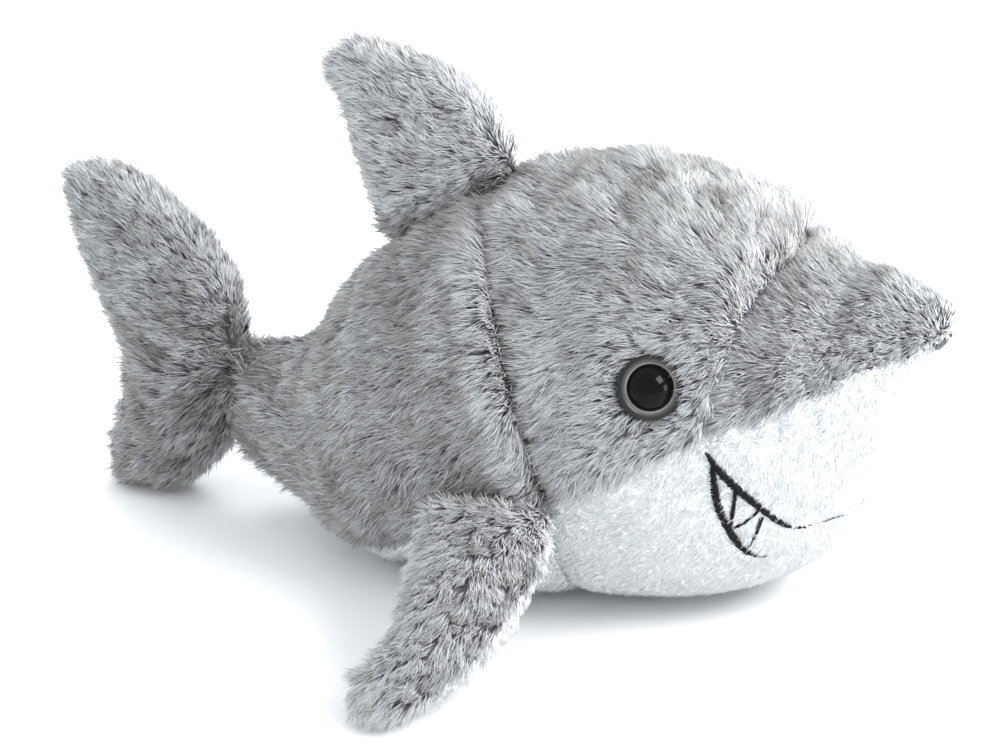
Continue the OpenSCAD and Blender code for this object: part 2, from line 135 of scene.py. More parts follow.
# place, height of the widest line, half width, height above, depth below, roundness above, below
BODY = np.array([
    [0.000, 0.318, 0.064, 0.120, 0.185, 0.95, 0.90],
    [0.030, 0.315, 0.095, 0.130, 0.215, 0.95, 0.85],
    [0.070, 0.313, 0.135, 0.145, 0.235, 0.95, 0.78],
    [0.130, 0.322, 0.212, 0.200, 0.268, 0.95, 0.70],
    [0.212, 0.362, 0.335, 0.357, 0.342, 0.95, 0.62],
    [0.324, 0.412, 0.430, 0.456, 0.405, 0.95, 0.64],
    [0.461, 0.450, 0.485, 0.522, 0.446, 0.95, 0.76],
    [0.598, 0.483, 0.500, 0.517, 0.483, 0.95, 0.86],
    [0.710, 0.505, 0.465, 0.440, 0.481, 0.95, 0.88],
    [0.803, 0.533, 0.384, 0.324, 0.453, 0.95, 0.88],
    [0.866, 0.571, 0.291, 0.238, 0.395, 0.95, 0.90],
    [0.910, 0.626, 0.192, 0.181, 0.280, 0.95, 0.92],
    [0.941, 0.676, 0.122, 0.126, 0.125, 0.95, 0.95],
    [0.972, 0.709, 0.080, 0.083, 0.062, 1.00, 1.00],
    [0.993, 0.722, 0.048, 0.053, 0.040, 1.00, 1.00],
    [1.000, 0.724, 0.006, 0.005, 0.005, 1.00, 1.00],
])
LAST = len(BODY) - 1


def curve(table, u):
    """A Catmull-Rom curve through a table's rows, read at u = 0 for the first row, 1 for the next."""
    table = np.asarray(table, float).reshape(len(table), -1)
    u = np.asarray(u, float)
    i = np.clip(np.floor(u).astype(int), 0, len(table) - 2)
    f = (u - i)[..., None]
    b, c = table[i], table[i + 1]
    a = np.where((i > 0)[..., None], table[np.maximum(i - 1, 0)], 2 * b - c)
    d = np.where((i < len(table) - 2)[..., None], table[np.minimum(i + 2, len(table) - 1)], 2 * c - b)
    return 0.5 * (2 * b + (c - a) * f + (2 * a - 5 * b + 4 * c - d) * f ** 2
                  + (3 * b - a - 3 * c + d) * f ** 3)


def signed_pow(v, p):
    """The size of v to the power p, with v's sign."""
    return np.sign(v) * np.abs(v) ** p


def skin(u, angle):
    """The body's surface at section u and angle round it in degrees (0 left, 90 top, 180 right,
    270 bottom): each section is a superellipse, pressed flat where it would pass the floor."""
    u, angle = np.broadcast_arrays(np.asarray(u, float), np.radians(angle))
    s = curve(BODY, np.clip(u, 0, LAST))
    up = np.sin(angle) >= 0
    p = np.where(up, s[..., 5], s[..., 6])
    tall = np.where(up, s[..., 3], s[..., 4]) * BODY_TALL
    z = s[..., 1] * BODY_TALL + tall * signed_pow(np.sin(angle), p) - BELLY_PRESS
    return np.stack([
        SEAM_X + s[..., 0] * BODY_LEN,
        s[..., 2] * BODY_WIDE * signed_pow(np.cos(angle), p),
        np.maximum(z, 0.0),
    ], axis=-1)


def outward(grid):
    """Unit normals of a grid of points: the cross product of its two directions."""
    return unit(np.cross(np.gradient(grid, axis=1), np.gradient(grid, axis=0)))


def waves(points, size, seed, count=7):
    """Smooth noise from about -1 to 1: a sum of plane waves of about that size in random directions."""
    rng = np.random.default_rng(seed)
    way = unit(rng.normal(size=(count, 3)))
    k = 2 * np.pi / (size * rng.uniform(0.7, 1.5, count))
    phase = rng.uniform(0, 2 * np.pi, count)
    return np.sin((points @ way.T) * k + phase).sum(-1) / np.sqrt(count)


def mesh_object(name, points, faces, smooth=True):
    """An object from points and a list of equal-sided faces, or of several such lists."""
    mesh = bpy.data.meshes.new(name)
    lists = faces if isinstance(faces, list) else [faces]
    sizes = np.concatenate([np.full(len(f), f.shape[1]) for f in lists])
    loops = np.concatenate([f.ravel() for f in lists])
    mesh.vertices.add(len(points))
    mesh.vertices.foreach_set("co", np.ascontiguousarray(points, np.float32).ravel())
    mesh.loops.add(len(loops))
    mesh.loops.foreach_set("vertex_index", loops.astype(np.int32))
    mesh.polygons.add(len(sizes))
    mesh.polygons.foreach_set("loop_start", (np.cumsum(sizes) - sizes).astype(np.int32))
    mesh.polygons.foreach_set("use_smooth", np.full(len(sizes), smooth))
    mesh.update(calc_edges=True)
    mesh.validate()
    return link(bpy.data.objects.new(name, mesh))


def grid_faces(rows, cols, close_cols=False):
    """Quads of a rows by cols grid of points; close_cols joins the last column to the first."""
    i = np.arange(rows - 1)[:, None]
    j = np.arange(cols if close_cols else cols - 1)[None, :]
    k = (j + 1) % cols
    return np.stack([i * cols + j, (i + 1) * cols + j, (i + 1) * cols + k, i * cols + k],
                    axis=-1).reshape(-1, 4)


def shell_mesh(name, grid, depth):
    """A closed cloth shell through every second row and column of a grid: those points, a copy of
    them depth further in, and a wall round the edge."""
    rows, cols = grid.shape[:2]
    grid = grid[np.linspace(0, rows - 1, rows // 2 + 1).astype(int)]
    grid = grid[:, np.linspace(0, cols - 1, cols // 2 + 1).astype(int)]
    rows, cols = grid.shape[:2]
    n = rows * cols
    points = np.concatenate([grid.reshape(-1, 3), (grid - outward(grid) * depth).reshape(-1, 3)])
    points[:, 2] = np.maximum(points[:, 2], 0.0)
    outer = grid_faces(rows, cols)
    ids = np.arange(n).reshape(rows, cols)
    rim = np.concatenate([ids[0, :-1], ids[:-1, -1], ids[-1, :0:-1], ids[:0:-1, 0]])
    nxt = np.roll(rim, -1)
    wall = np.stack([rim, rim + n, nxt + n, nxt], axis=-1)
    return mesh_object(name, points, np.concatenate([outer, outer[:, ::-1] + n, wall[:, ::-1]]))


# Backing cloth of the pile: a warp knit, seen only in the partings of the pile and at the seams.
def knit_material(name, dark, light, stitch):
    """A knitted backing: sine bands of one stitch, broken up by noise, mixed from a dark to a light
    colour.
    """
    material = plain_material(name, light, 0.85, Sheen_Weight=0.3)
    nodes, links = material.node_tree.nodes, material.node_tree.links
    place = nodes.new("ShaderNodeTexCoord")
    wale = nodes.new("ShaderNodeTexWave")
    wale.inputs["Scale"].default_value = 1.0 / stitch / 3.2
    wale.inputs["Distortion"].default_value = 1.2
    blotch = nodes.new("ShaderNodeTexNoise")
    blotch.inputs["Scale"].default_value = 260.0
    both = nodes.new("ShaderNodeMath")
    both.operation = "MULTIPLY"
    ramp = nodes.new("ShaderNodeValToRGB")
    ramp.color_ramp.elements[0].color = (*dark, 1)
    ramp.color_ramp.elements[1].color = (*light, 1)
    bump = nodes.new("ShaderNodeBump")
    bump.inputs["Strength"].default_value = 0.5
    bump.inputs["Distance"].default_value = 0.0003
    links.new(place.outputs["Object"], wale.inputs["Vector"])
    links.new(place.outputs["Object"], blotch.inputs["Vector"])
    links.new(wale.outputs["Fac"], both.inputs[0])
    links.new(blotch.outputs["Fac"], both.inputs[1])
    links.new(both.outputs[0], ramp.inputs["Fac"])
    links.new(ramp.outputs["Color"], nodes["Principled BSDF"].inputs["Base Color"])
    links.new(wale.outputs["Fac"], bump.inputs["Height"])
    links.new(bump.outputs["Normal"], nodes["Principled BSDF"].inputs["Normal"])
    return material


GREY_BACKING = knit_material("grey_backing", (0.07, 0.075, 0.085), (0.16, 0.17, 0.19), 0.0007)
WHITE_BACKING = knit_material("white_backing", (0.80, 0.83, 0.86), (0.93, 0.95, 0.97), 0.0006)
CLOTH = 1.1 * MM
PILE_FLOOR = 0.3 * MM


def sewn_panel(name, shape, backing, node, body="torso"):
    """One panel of cloth in the place of a CAD node, which it hides."""
    panel = shell_mesh(name, shape, CLOTH)
    panel.data.materials.append(backing)
    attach(panel, body)
    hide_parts(node)


# The pile: silky polyester strands, knitted into the backing in tufts. They lean the way the
# cloth was brushed, draw together at their tips, and are darker at the root than at the tip:
# partly the cloth's own colour, partly painted shade down in the pile.
TONES = 24
# Share of strands darkened to a quarter of their tone: painted shade in the gaps between locks.
PAINTED_GAP_SHADE_SHARE = 0.17


def pile_material(name, root, middle, tip, soft, sheen, tones=(0.5, 1.4)):
    """Strand colour from root to tip along the strand's own map: its first axis is the strand's
    tone, its second runs from 0 at the root to 1 at the tip."""
    material = plain_material(name, middle, soft, Sheen_Weight=sheen, Sheen_Roughness=0.4)
    nodes, links = material.node_tree.nodes, material.node_tree.links
    place = nodes.new("ShaderNodeUVMap")
    place.uv_map = "OFBake"
    split = nodes.new("ShaderNodeSeparateXYZ")
    # The ramp's dark root is partly the strand's own colour, partly painted shade down in the pile.
    ramp = nodes.new("ShaderNodeValToRGB")
    ramp.color_ramp.elements[0].color = (*root, 1)
    ramp.color_ramp.elements[0].position = 0.02
    ramp.color_ramp.elements[1].color = (*tip, 1)
    ramp.color_ramp.elements[1].position = 0.75
    ramp.color_ramp.elements.new(0.34).color = (*middle, 1)
    tone = nodes.new("ShaderNodeMapRange")
    tone.inputs["To Min"].default_value = tones[0]
    tone.inputs["To Max"].default_value = tones[1]
    shade = nodes.new("ShaderNodeVectorMath")
    shade.operation = "SCALE"
    links.new(place.outputs["UV"], split.inputs["Vector"])
    links.new(split.outputs["Y"], ramp.inputs["Fac"])
    links.new(split.outputs["X"], tone.inputs["Value"])
    links.new(ramp.outputs["Color"], shade.inputs["Vector"])
    links.new(tone.outputs["Result"], shade.inputs["Scale"])
    links.new(shade.outputs["Vector"], nodes["Principled BSDF"].inputs["Base Color"])
    return material


# Root colours: the near-black grey root and the paler white root are partly painted shade in the pile.
GREY_PILE = pile_material("grey_pile", (0.012, 0.013, 0.016), (0.50, 0.515, 0.545), (0.97, 0.98, 0.99),
                          0.42, 0.25, tones=(0.08, 1.0))
WHITE_PILE = pile_material("white_pile", (0.86, 0.90, 0.93), (0.95, 0.97, 0.98), (0.98, 0.99, 1.0),
                           0.7, 0.2, tones=(0.97, 1.0))


# A repeatable random number for each cube of space: whole-number mixing, then a steep sine.
HASH_PRIMES = np.array([73856093, 19349663, 83492791])
SEED_PRIME = 7919
HASH_WAVES = np.array([12.9898, 78.233, 37.719, 4.581])
HASH_SIZE = 43758.5453


def nearest_tuft(points, spacing, seed):
    """For each point, the way to the nearest of a cloud of jittered centres that lie one to each
    cube of that spacing, and a random number from 0 to 1 that belongs to that centre."""
    cell = np.floor(points / spacing).astype(np.int64)
    best = np.full(len(points), np.inf)
    way = np.zeros_like(points)
    luck = np.zeros(len(points))
    for step in np.ndindex(3, 3, 3):
        c = cell + (np.array(step) - 1)
        h = (c * HASH_PRIMES).sum(-1) + seed * SEED_PRIME
        r = np.modf(np.abs(np.sin(h[:, None] * HASH_WAVES) * HASH_SIZE))[0]
        centre = (c + r[:, :3]) * spacing
        gap = np.linalg.norm(centre - points, axis=-1)
        closer = gap < best
        best[closer] = gap[closer]
        way[closer] = (centre - points)[closer]
        luck[closer] = r[closer, 3]
    return way, luck


def sample(grid, i, j, f, g):
    """A grid's values between its points: cell i, j, at shares f and g across it."""
    f, g = f[:, None], g[:, None]
    grid = grid.reshape(grid.shape[0], grid.shape[1], -1)
    return ((grid[i, j] * (1 - f) + grid[i + 1, j] * f) * (1 - g)
            + (grid[i, j + 1] * (1 - f) + grid[i + 1, j + 1] * f) * g)


def lay_pile(name, grid, comb, density, length, width, lean, clump, tuft, seed, material, body,
             tone=0.5, keep=None):
    """Strands on a grid of cloth, each a three-sided spike. density is strands to a square metre,
    lean the angle in degrees from upright, clump the share by which tips draw to the middle of
    their tuft. length, lean and tone are numbers or grids."""
    rng = np.random.default_rng(seed)
    edge_a = grid[1:, :-1] - grid[:-1, :-1]
    edge_b = grid[:-1, 1:] - grid[:-1, :-1]
    area = np.linalg.norm(np.cross(edge_a, edge_b), axis=-1)
    count = int(area.sum() * density)
    pick = rng.choice(area.size, count, p=(area / area.sum()).ravel())
    i, j = np.unravel_index(pick, area.shape)
    f, g = rng.random(count), rng.random(count)
    at = sample(grid, i, j, f, g)
    up = unit(sample(outward(grid), i, j, f, g))
    way = sample(comb, i, j, f, g)
    if keep is not None:
        held = keep(at)
        at, up, way, i, j, f, g = (v[held] for v in (at, up, way, i, j, f, g))
        count = len(at)
    pull, luck = nearest_tuft(at, tuft, seed)
    pull -= up * (pull * up).sum(-1, keepdims=True)
    swirl = unit(way - up * (way * up).sum(-1, keepdims=True))
    side = np.cross(up, swirl)
    turn = 0.32 * waves(at, 14 * MM, seed + 1) + 0.22 * rng.normal(size=count) + 0.5 * (luck - 0.5)
    turn = turn[:, None]
    way = unit(swirl * np.cos(turn) + side * np.sin(turn))
    side = np.cross(up, way)
    read = lambda v: sample(v, i, j, f, g)[:, 0] if np.ndim(v) else np.full(count, float(v))
    long = (read(length) * rng.uniform(0.70, 1.15, count) * (0.74 + 0.52 * luck))[:, None]
    stand = read(lean) + 16 * (luck - 0.5) + 8 * rng.normal(size=count)
    stand = np.radians(np.clip(stand, 4, 88))[:, None]
    tip = at + long * (up * np.cos(stand) + way * np.sin(stand)) + clump * pull
    roll = rng.uniform(0, 2 * np.pi, count)[:, None]
    around = roll + np.array([0.0, 2.0944, 4.1888])
    ring = (side[:, None, :] * np.cos(around)[..., None]
            + np.cross(way, side)[:, None, :] * np.sin(around)[..., None])
    thick = (width * rng.uniform(0.75, 1.25, count))[:, None, None] / 2
    points = np.concatenate([at[:, None] + ring * thick - up[:, None] * 0.1 * MM, tip[:, None]], axis=1)
    points[..., 2] = np.maximum(points[..., 2], PILE_FLOOR * rng.uniform(0.3, 1.0, (count, 1)))
    corners = np.array([[0, 1, 3], [1, 2, 3], [2, 0, 3], [2, 1, 0]])
    tris = (4 * np.arange(count)[:, None, None] + corners).reshape(-1, 3)
    strand = mesh_object(name, points.reshape(-1, 3), tris)
    shade = read(tone) + 0.34 * (luck - 0.5) + 0.14 * rng.normal(size=count)
    # Strands in that share are darkened: painted shade between the locks.
    shade = np.clip(np.where(rng.random(count) < PAINTED_GAP_SHADE_SHARE, 0.25 * shade, shade), 0.0, 0.999)
    u = (np.floor(shade * TONES) / TONES)[:, None] + np.array([0.1, 0.5, 0.9, 0.5]) / TONES
    v = np.broadcast_to(np.array([0.0, 0.0, 0.0, 1.0]), u.shape)
    uv = np.stack([u, v], axis=-1).reshape(-1, 2)
    layer = strand.data.uv_layers.new(name="OFBake")
    corner = np.zeros(len(strand.data.loops), np.int32)
    strand.data.loops.foreach_get("vertex_index", corner)
    layer.data.foreach_set("uv", uv[corner].astype(np.float32).ravel())
    strand.data.materials.append(material)
    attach(strand, body)
    return strand


# Seam lines of the body: grey meets white along the side, one seam behind the eyes ends in the
# gill pleat, and one in front of them holds the snout. Each is sewn from inside, so it pulls in.
WHITE_EDGE = [236, 236, 236, 234, 229, 209, 197, 185, 177, 168, 164, 168, 184, 200, 235, 266]
JAW_END = 14.6


def white_edge(u):
    """The angle at which grey meets white at section u."""
    return curve(WHITE_EDGE, np.clip(u, 0, LAST))[..., 0]


def gill_u(t):
    """The gill seam's section at t, from 0 at the top to 1 at the white edge."""
    return 5.35 + 1.25 * t


def nose_u(t):
    """The nose seam's section at t, from 0 at the top to 1 at the white edge."""
    return 9.05 - 0.72 * t ** 0.9


def panel_grid(points, rows, cols):
    """A panel's grid of points: points(s, t) gives section and angle, s forward, t round."""
    s, t = np.meshgrid(np.linspace(0, 1, rows), np.linspace(0, 1, cols), indexing="ij")
    u, angle = points(s, t)
    return skin(u, angle), s, t


def to_edge(grid):
    """How far, in metres, each point of a grid is from the grid's first and last row and column."""
    down = np.concatenate([np.zeros((1, grid.shape[1])),
                           np.cumsum(np.linalg.norm(np.diff(grid, axis=0), axis=-1), axis=0)])
    across = np.concatenate([np.zeros((grid.shape[0], 1)),
                             np.cumsum(np.linalg.norm(np.diff(grid, axis=1), axis=-1), axis=1)], axis=1)
    return down, down[-1:] - down, across, across[:, -1:] - across


CLOTH_FRAMES = 14
CLOTH_SCALE = 10
CLOTH_EXTRA = 0.04


def valley(distance, depth, reach):
    """A seam's valley: depth at the seam, dying away over reach."""
    return -depth * np.exp(-(distance / reach) ** 1.5)


def stuffed(grid, seams, lump, seed):
    """The panel drawn over its filling: soft lumps, less the valley of each seam."""
    rise = lump * waves(grid, 26 * MM, seed) + 0.35 * lump * waves(grid, 9 * MM, seed + 5)
    for distance, depth, reach in seams:
        rise = rise + valley(distance, depth, reach)
    moved = grid + outward(grid) * rise[..., None]
    moved[..., 2] = np.maximum(moved[..., 2], 0.0)
    return moved


def blown_out(grid, pressure, cap):
    """The panel as real cloth: held along its seams, cut 4% larger than its frame, and pressed out
    by the filling behind it. It is solved ten times enlarged, and no point moves further than cap."""
    rows, cols = grid.shape[:2]
    cloth = mesh_object("cloth_under_test", grid.reshape(-1, 3) * CLOTH_SCALE,
                        grid_faces(rows, cols)[:, ::-1])
    ids = np.arange(rows * cols).reshape(rows, cols)
    seams = np.unique(np.concatenate([ids[0], ids[-1], ids[:, 0], ids[:, -1]]))
    cloth.vertex_groups.new(name="seams").add(seams.tolist(), 1.0, "REPLACE")
    solver = cloth.modifiers.new("cloth", "CLOTH")
    solver.settings.vertex_group_mass = "seams"
    solver.settings.use_pressure = True
    solver.settings.uniform_pressure_force = pressure
    solver.settings.effector_weights.gravity = 0
    solver.settings.shrink_min = -CLOTH_EXTRA
    solver.point_cache.frame_start = 1
    solver.point_cache.frame_end = CLOTH_FRAMES
    for step in range(1, CLOTH_FRAMES + 1):
        bpy.context.scene.frame_set(step)
    still = cloth.evaluated_get(bpy.context.evaluated_depsgraph_get()).to_mesh()
    moved = np.zeros(len(still.vertices) * 3, np.float32)
    still.vertices.foreach_get("co", moved)
    bpy.data.objects.remove(cloth)
    bpy.context.scene.frame_set(1)
    away = moved.reshape(grid.shape) / CLOTH_SCALE - grid
    far = np.linalg.norm(away, axis=-1, keepdims=True)
    away = away * np.minimum(1.0, cap / np.maximum(far, 1e-9))
    settled = grid + away
    settled[..., 2] = np.maximum(settled[..., 2], 0.0)
    return settled


def rearward(grid, sweep=0.0):
    """The way that the pile lies: toward the tail along the rows, swept down by a share."""
    back = -unit(np.gradient(grid, axis=0))
    return unit(back + sweep * np.array([0.0, 0.0, -1.0]))


def mirrored(grid):
    """The same panel on the other side: y negated, with the columns reversed to face outward."""
    return grid[:, ::-1] * np.array([1.0, -1.0, 1.0])


def flip(values):
    """A grid of numbers for the mirrored panel."""
    return values[:, ::-1]


EYE_U = 7.65
EYE_ANGLE = 160
eye_at = skin(EYE_U, EYE_ANGLE)
EYE_CLEAR = 6.2 * MM


def clear_of_eyes(at):
    """Which strands stand clear of the two eyes' rings."""
    other = eye_at * np.array([1, -1, 1])
    return ((np.linalg.norm(at - eye_at, axis=-1) > EYE_CLEAR)
            & (np.linalg.norm(at - other, axis=-1) > EYE_CLEAR))


# Rear body panels: grey pile cloth from the tail seam to the gill pleat, one to each side,
# joined along the back. The pile is brushed flat here, so it looks short and fine.
PILE_WIDTH = 0.50 * MM
grid, s, t = panel_grid(
    lambda s, t: ((u := gill_u(t) * s), 90 + (white_edge(u) - 90) * t), 76, 64)
tail_end, gill_end, _, edge = to_edge(grid)
pleat = 1.2 * MM * np.exp(-((gill_end - 4 * MM) / (2.6 * MM)) ** 2) * np.clip((t - 0.2) / 0.2, 0, 1)
gather = np.exp(-tail_end / (7 * MM)) * 0.8 * MM * np.sin(t * np.pi * 9) ** 2
low_down = np.clip((t - 0.30) / 0.15, 0, 1)
body_side = stuffed(blown_out(grid, 2.0, 1.4 * MM), [
    (tail_end, 1.6 * MM, 4 * MM),
    (gill_end, 1.6 * MM * low_down, 2.0 * MM),
    (edge, 0.9 * MM, 4 * MM),
], 0.55 * MM, 11)
body_side = body_side + outward(body_side) * (pleat - gather)[..., None]
# On the gill pleat's ridge and on another ridge behind it the pile stands more upright, and its tone is
# raised there as a painted highlight.
pleat_top = np.exp(-((gill_end - 2.6 * MM) / (2.4 * MM)) ** 2) * np.clip((t - 0.28) / 0.12, 0, 1)
second = np.exp(-((gill_end - 11 * MM) / (2.2 * MM)) ** 2) * np.exp(-((t - 0.5) / 0.24) ** 4)
second = second * np.clip(0.6 + waves(grid, 8 * MM, 9), 0, 1)
body_pile = (4.4 + 1.8 * np.exp(-gill_end / (9 * MM)) + 1.6 * np.exp(-tail_end / (7 * MM))) * MM
body_lean = 68 - 15 * pleat_top - 14 * second
# A band across the rear body is darkened: painted shade of a fold in the cloth.
painted_crease_shade = np.exp(-((tail_end - (38 + 8 * t) * MM) / (5 * MM)) ** 2) * np.exp(-((t - 0.5) / 0.4) ** 4)
body_tone_and_painted_light = (0.52 + 0.48 * pleat_top + 0.46 * second - 0.12 * painted_crease_shade + 0.07 * waves(grid, 30 * MM, 3)
             + 0.08 * waves(grid, 7 * MM, 19))
for side, shape, flipped in (("right", body_side, lambda v: v), ("left", mirrored(body_side), flip)):
    sewn_panel(f"rear_body_cloth_{side}", shape, GREY_BACKING, f"body_panel_{side}")
    lay_pile(f"rear_body_pile_{side}", shape, rearward(shape, 0.15), 7.8e6, flipped(body_pile),
             PILE_WIDTH, flipped(body_lean), 0.5, 2.0 * MM, 21, GREY_PILE, "torso",
             tone=flipped(body_tone_and_painted_light))

# Side panels of the head: the same cloth, from the gill pleat to the snout seam, with the pile
# left longer and fluffed, so that its light tips stand in locks over the dark roots, whose
# darkness is partly painted shade.
grid, s, t = panel_grid(
    lambda s, t: ((u := gill_u(t) + (nose_u(t) - gill_u(t)) * s), 90 + (white_edge(u) - 90) * t), 60, 64)
gill_end, nose_end, _, edge = to_edge(grid)
low_down = np.clip((t - 0.30) / 0.15, 0, 1)
head_side = stuffed(blown_out(grid, 2.0, 1.2 * MM), [
    (gill_end, 1.6 * MM * low_down, 2.0 * MM),
    (nose_end, 0.5 * MM, 3 * MM),
    (edge, 0.8 * MM, 3 * MM),
], 0.6 * MM, 12)
from_eye = np.linalg.norm(grid - eye_at, axis=-1)
socket = -1.3 * MM * np.exp(-(from_eye / (8 * MM)) ** 4)
head_side = head_side + outward(head_side) * socket[..., None]
head_pile = (5.6 - 2.6 * np.exp(-((from_eye - 6 * MM) / (4 * MM)).clip(0) ** 2)
             - 1.0 * np.exp(-edge / (5 * MM)) - 2.8 * low_down * np.exp(-gill_end / (2.0 * MM))) * MM
fluff = np.clip(0.5 + 0.8 * waves(grid, 20 * MM, 4), 0, 1) * np.clip(s * 1.4, 0, 1)
head_lean = 67 - 14 * fluff
patch = np.clip(0.5 + 0.9 * waves(grid, 10 * MM, 23), 0, 1)
# Darker along the low part of the gill seam, in its valley: painted shade.
head_tone_and_painted_shade = (0.74 + (0.26 + 0.10 * s) * patch + 0.22 * np.exp(-edge / (5 * MM))
             - 0.30 * np.clip(1 - t * 2.2, 0, 1) * (1 - 0.5 * s) + 0.12 * waves(grid, 4 * MM, 24)
             - 0.1 * low_down * np.exp(-gill_end / (1.5 * MM)))
for side, shape, flipped in (("right", head_side, lambda v: v), ("left", mirrored(head_side), flip)):
    sewn_panel(f"head_cloth_{side}", shape, GREY_BACKING, f"head_panel_{side}")
    lay_pile(f"head_pile_{side}", shape, rearward(shape, 0.1), 7.8e6, flipped(head_pile),
             PILE_WIDTH, flipped(head_lean), 0.6, 2.4 * MM, 31, GREY_PILE, "torso",
             tone=flipped(head_tone_and_painted_shade), keep=clear_of_eyes)

# Snout: one grey panel folded over the nose, from the seam between the eyes to the tip, sewn to
# the cheeks along its lower edges. Its pile is clipped short at the tip and runs back from it.
grid, s, t = panel_grid(
    lambda s, t: ((u := nose_u(abs(2 * t - 1)) + (LAST - 0.02 - nose_u(abs(2 * t - 1))) * s ** 0.85),
                  (180 - white_edge(u)) * (1 - t) + white_edge(u) * t), 56, 90)
nose_end, tip_end, left_edge, right_edge = to_edge(grid)
snout = stuffed(blown_out(grid, 1.5, 0.8 * MM), [
    (nose_end, 0.5 * MM, 3 * MM),
    (left_edge, 0.5 * MM, 2 * MM),
    (right_edge, 0.5 * MM, 2 * MM),
], 0.4 * MM, 13)
snout_pile = (2.2 + 3.0 * np.clip(tip_end / (30 * MM), 0, 1)) * MM
patch = np.clip(0.5 + 0.9 * waves(grid, 9 * MM, 25), 0, 1)
# Lighter toward the tip of the nose: painted highlight where the light falls on the snout.
snout_tone_and_painted_highlight = (0.68 + 0.30 * patch + 0.25 * np.exp(-tip_end / (12 * MM)) + 0.10 * waves(grid, 4 * MM, 26))
sewn_panel("snout_cloth", snout, GREY_BACKING, "nose_panel")
lay_pile("snout_pile", snout, rearward(snout), 8.5e6, snout_pile, 0.44 * MM, 66, 0.5, 2.0 * MM, 41,
         GREY_PILE, "torso", tone=snout_tone_and_painted_highlight, keep=clear_of_eyes)

# Safety eyes: a turned grey plastic ring and a black glossy dome on a ridged post, pushed through
# the cloth and locked behind it by a plastic washer. They sit in the hollow of the head panels.
EYE_D = 13.4 * MM
PUPIL_D = 9.4 * MM
POST_D = 4.0 * MM
EYE_TILT = np.array([0.20, 0.0, 0.10])
EYE_LIFT = 0.6 * MM
CUP_Z = 0.7 * MM
DOME_RISE = 2.7 * MM
DOME_FOOT = 0.7 * MM


def skin_out(u, angle):
    """The body's unit normal there: the cross product of the ways round it and along it."""
    return unit(np.cross(skin(u, angle + 1.0) - skin(u, angle - 1.0),
                         skin(np.asarray(u) + 0.05, angle) - skin(np.asarray(u) - 0.05, angle)))


def lathe(name, profile, origin, axis, steps=96, capped=False):
    """A profile of radius and height turned round an axis. A closed profile makes a ring; a capped
    one starts and ends near the axis. Its map runs round the axis and along the profile."""
    across = unit(np.cross([0.0, 0.0, 1.0], axis))
    upright = np.cross(axis, across)
    turn = np.linspace(0, 2 * np.pi, steps, endpoint=False)[None, :, None]
    r, z = profile[:, 0][:, None, None], profile[:, 1][:, None, None]
    points = origin + r * (np.cos(turn) * across + np.sin(turn) * upright) + z * axis
    rows = len(profile)
    loop = np.concatenate([points, points[:1]]) if not capped else points
    faces = grid_faces(len(loop), steps, close_cols=True)
    if not capped:
        faces = faces % (rows * steps)
    faces = [faces[:, ::-1]]
    if capped:
        first = np.arange(steps)
        faces.append(np.stack([first, (rows * steps - 1) - first]))
    obj = mesh_object(name, points.reshape(-1, 3), faces)
    layer = obj.data.uv_layers.new(name="OFBake")
    corner = np.zeros(len(obj.data.loops), np.int32)
    obj.data.loops.foreach_get("vertex_index", corner)
    around, along_it = (corner % steps) / steps, (corner // steps) / rows
    for share in (around, along_it):
        each = share[:len(faces[0]) * 4].reshape(-1, 4)
        each[each < each.max(1, keepdims=True) - 0.5] += 1
    layer.data.foreach_set("uv", np.stack([around, along_it], axis=-1).astype(np.float32).ravel())
    return obj


def turned_material(name, stops, roughness, coat, gloss=0.2):
    """Moulded plastic whose colour follows the piece's own profile, with faint mottling."""
    material = plain_material(name, stops[0][1], roughness, Coat_Weight=coat, Coat_Roughness=0.05,
                              Specular_IOR_Level=gloss)
    nodes, links = material.node_tree.nodes, material.node_tree.links
    place = nodes.new("ShaderNodeUVMap")
    place.uv_map = "OFBake"
    split = nodes.new("ShaderNodeSeparateXYZ")
    ramp = nodes.new("ShaderNodeValToRGB")
    elements = ramp.color_ramp.elements
    elements[0].position, elements[0].color = stops[0][0], (*stops[0][1], 1)
    elements[1].position, elements[1].color = stops[-1][0], (*stops[-1][1], 1)
    for position, colour in stops[1:-1]:
        elements.new(position).color = (*colour, 1)
    spot = nodes.new("ShaderNodeTexCoord")
    mottle = nodes.new("ShaderNodeTexNoise")
    mottle.inputs["Scale"].default_value = 900.0
    bump = nodes.new("ShaderNodeBump")
    bump.inputs["Strength"].default_value = 0.12
    bump.inputs["Distance"].default_value = 0.00005
    links.new(place.outputs["UV"], split.inputs["Vector"])
    links.new(split.outputs["Y"], ramp.inputs["Fac"])
    links.new(ramp.outputs["Color"], nodes["Principled BSDF"].inputs["Base Color"])
    links.new(spot.outputs["Object"], mottle.inputs["Vector"])
    links.new(mottle.outputs["Fac"], bump.inputs["Height"])
    links.new(bump.outputs["Normal"], nodes["Principled BSDF"].inputs["Normal"])
    return material


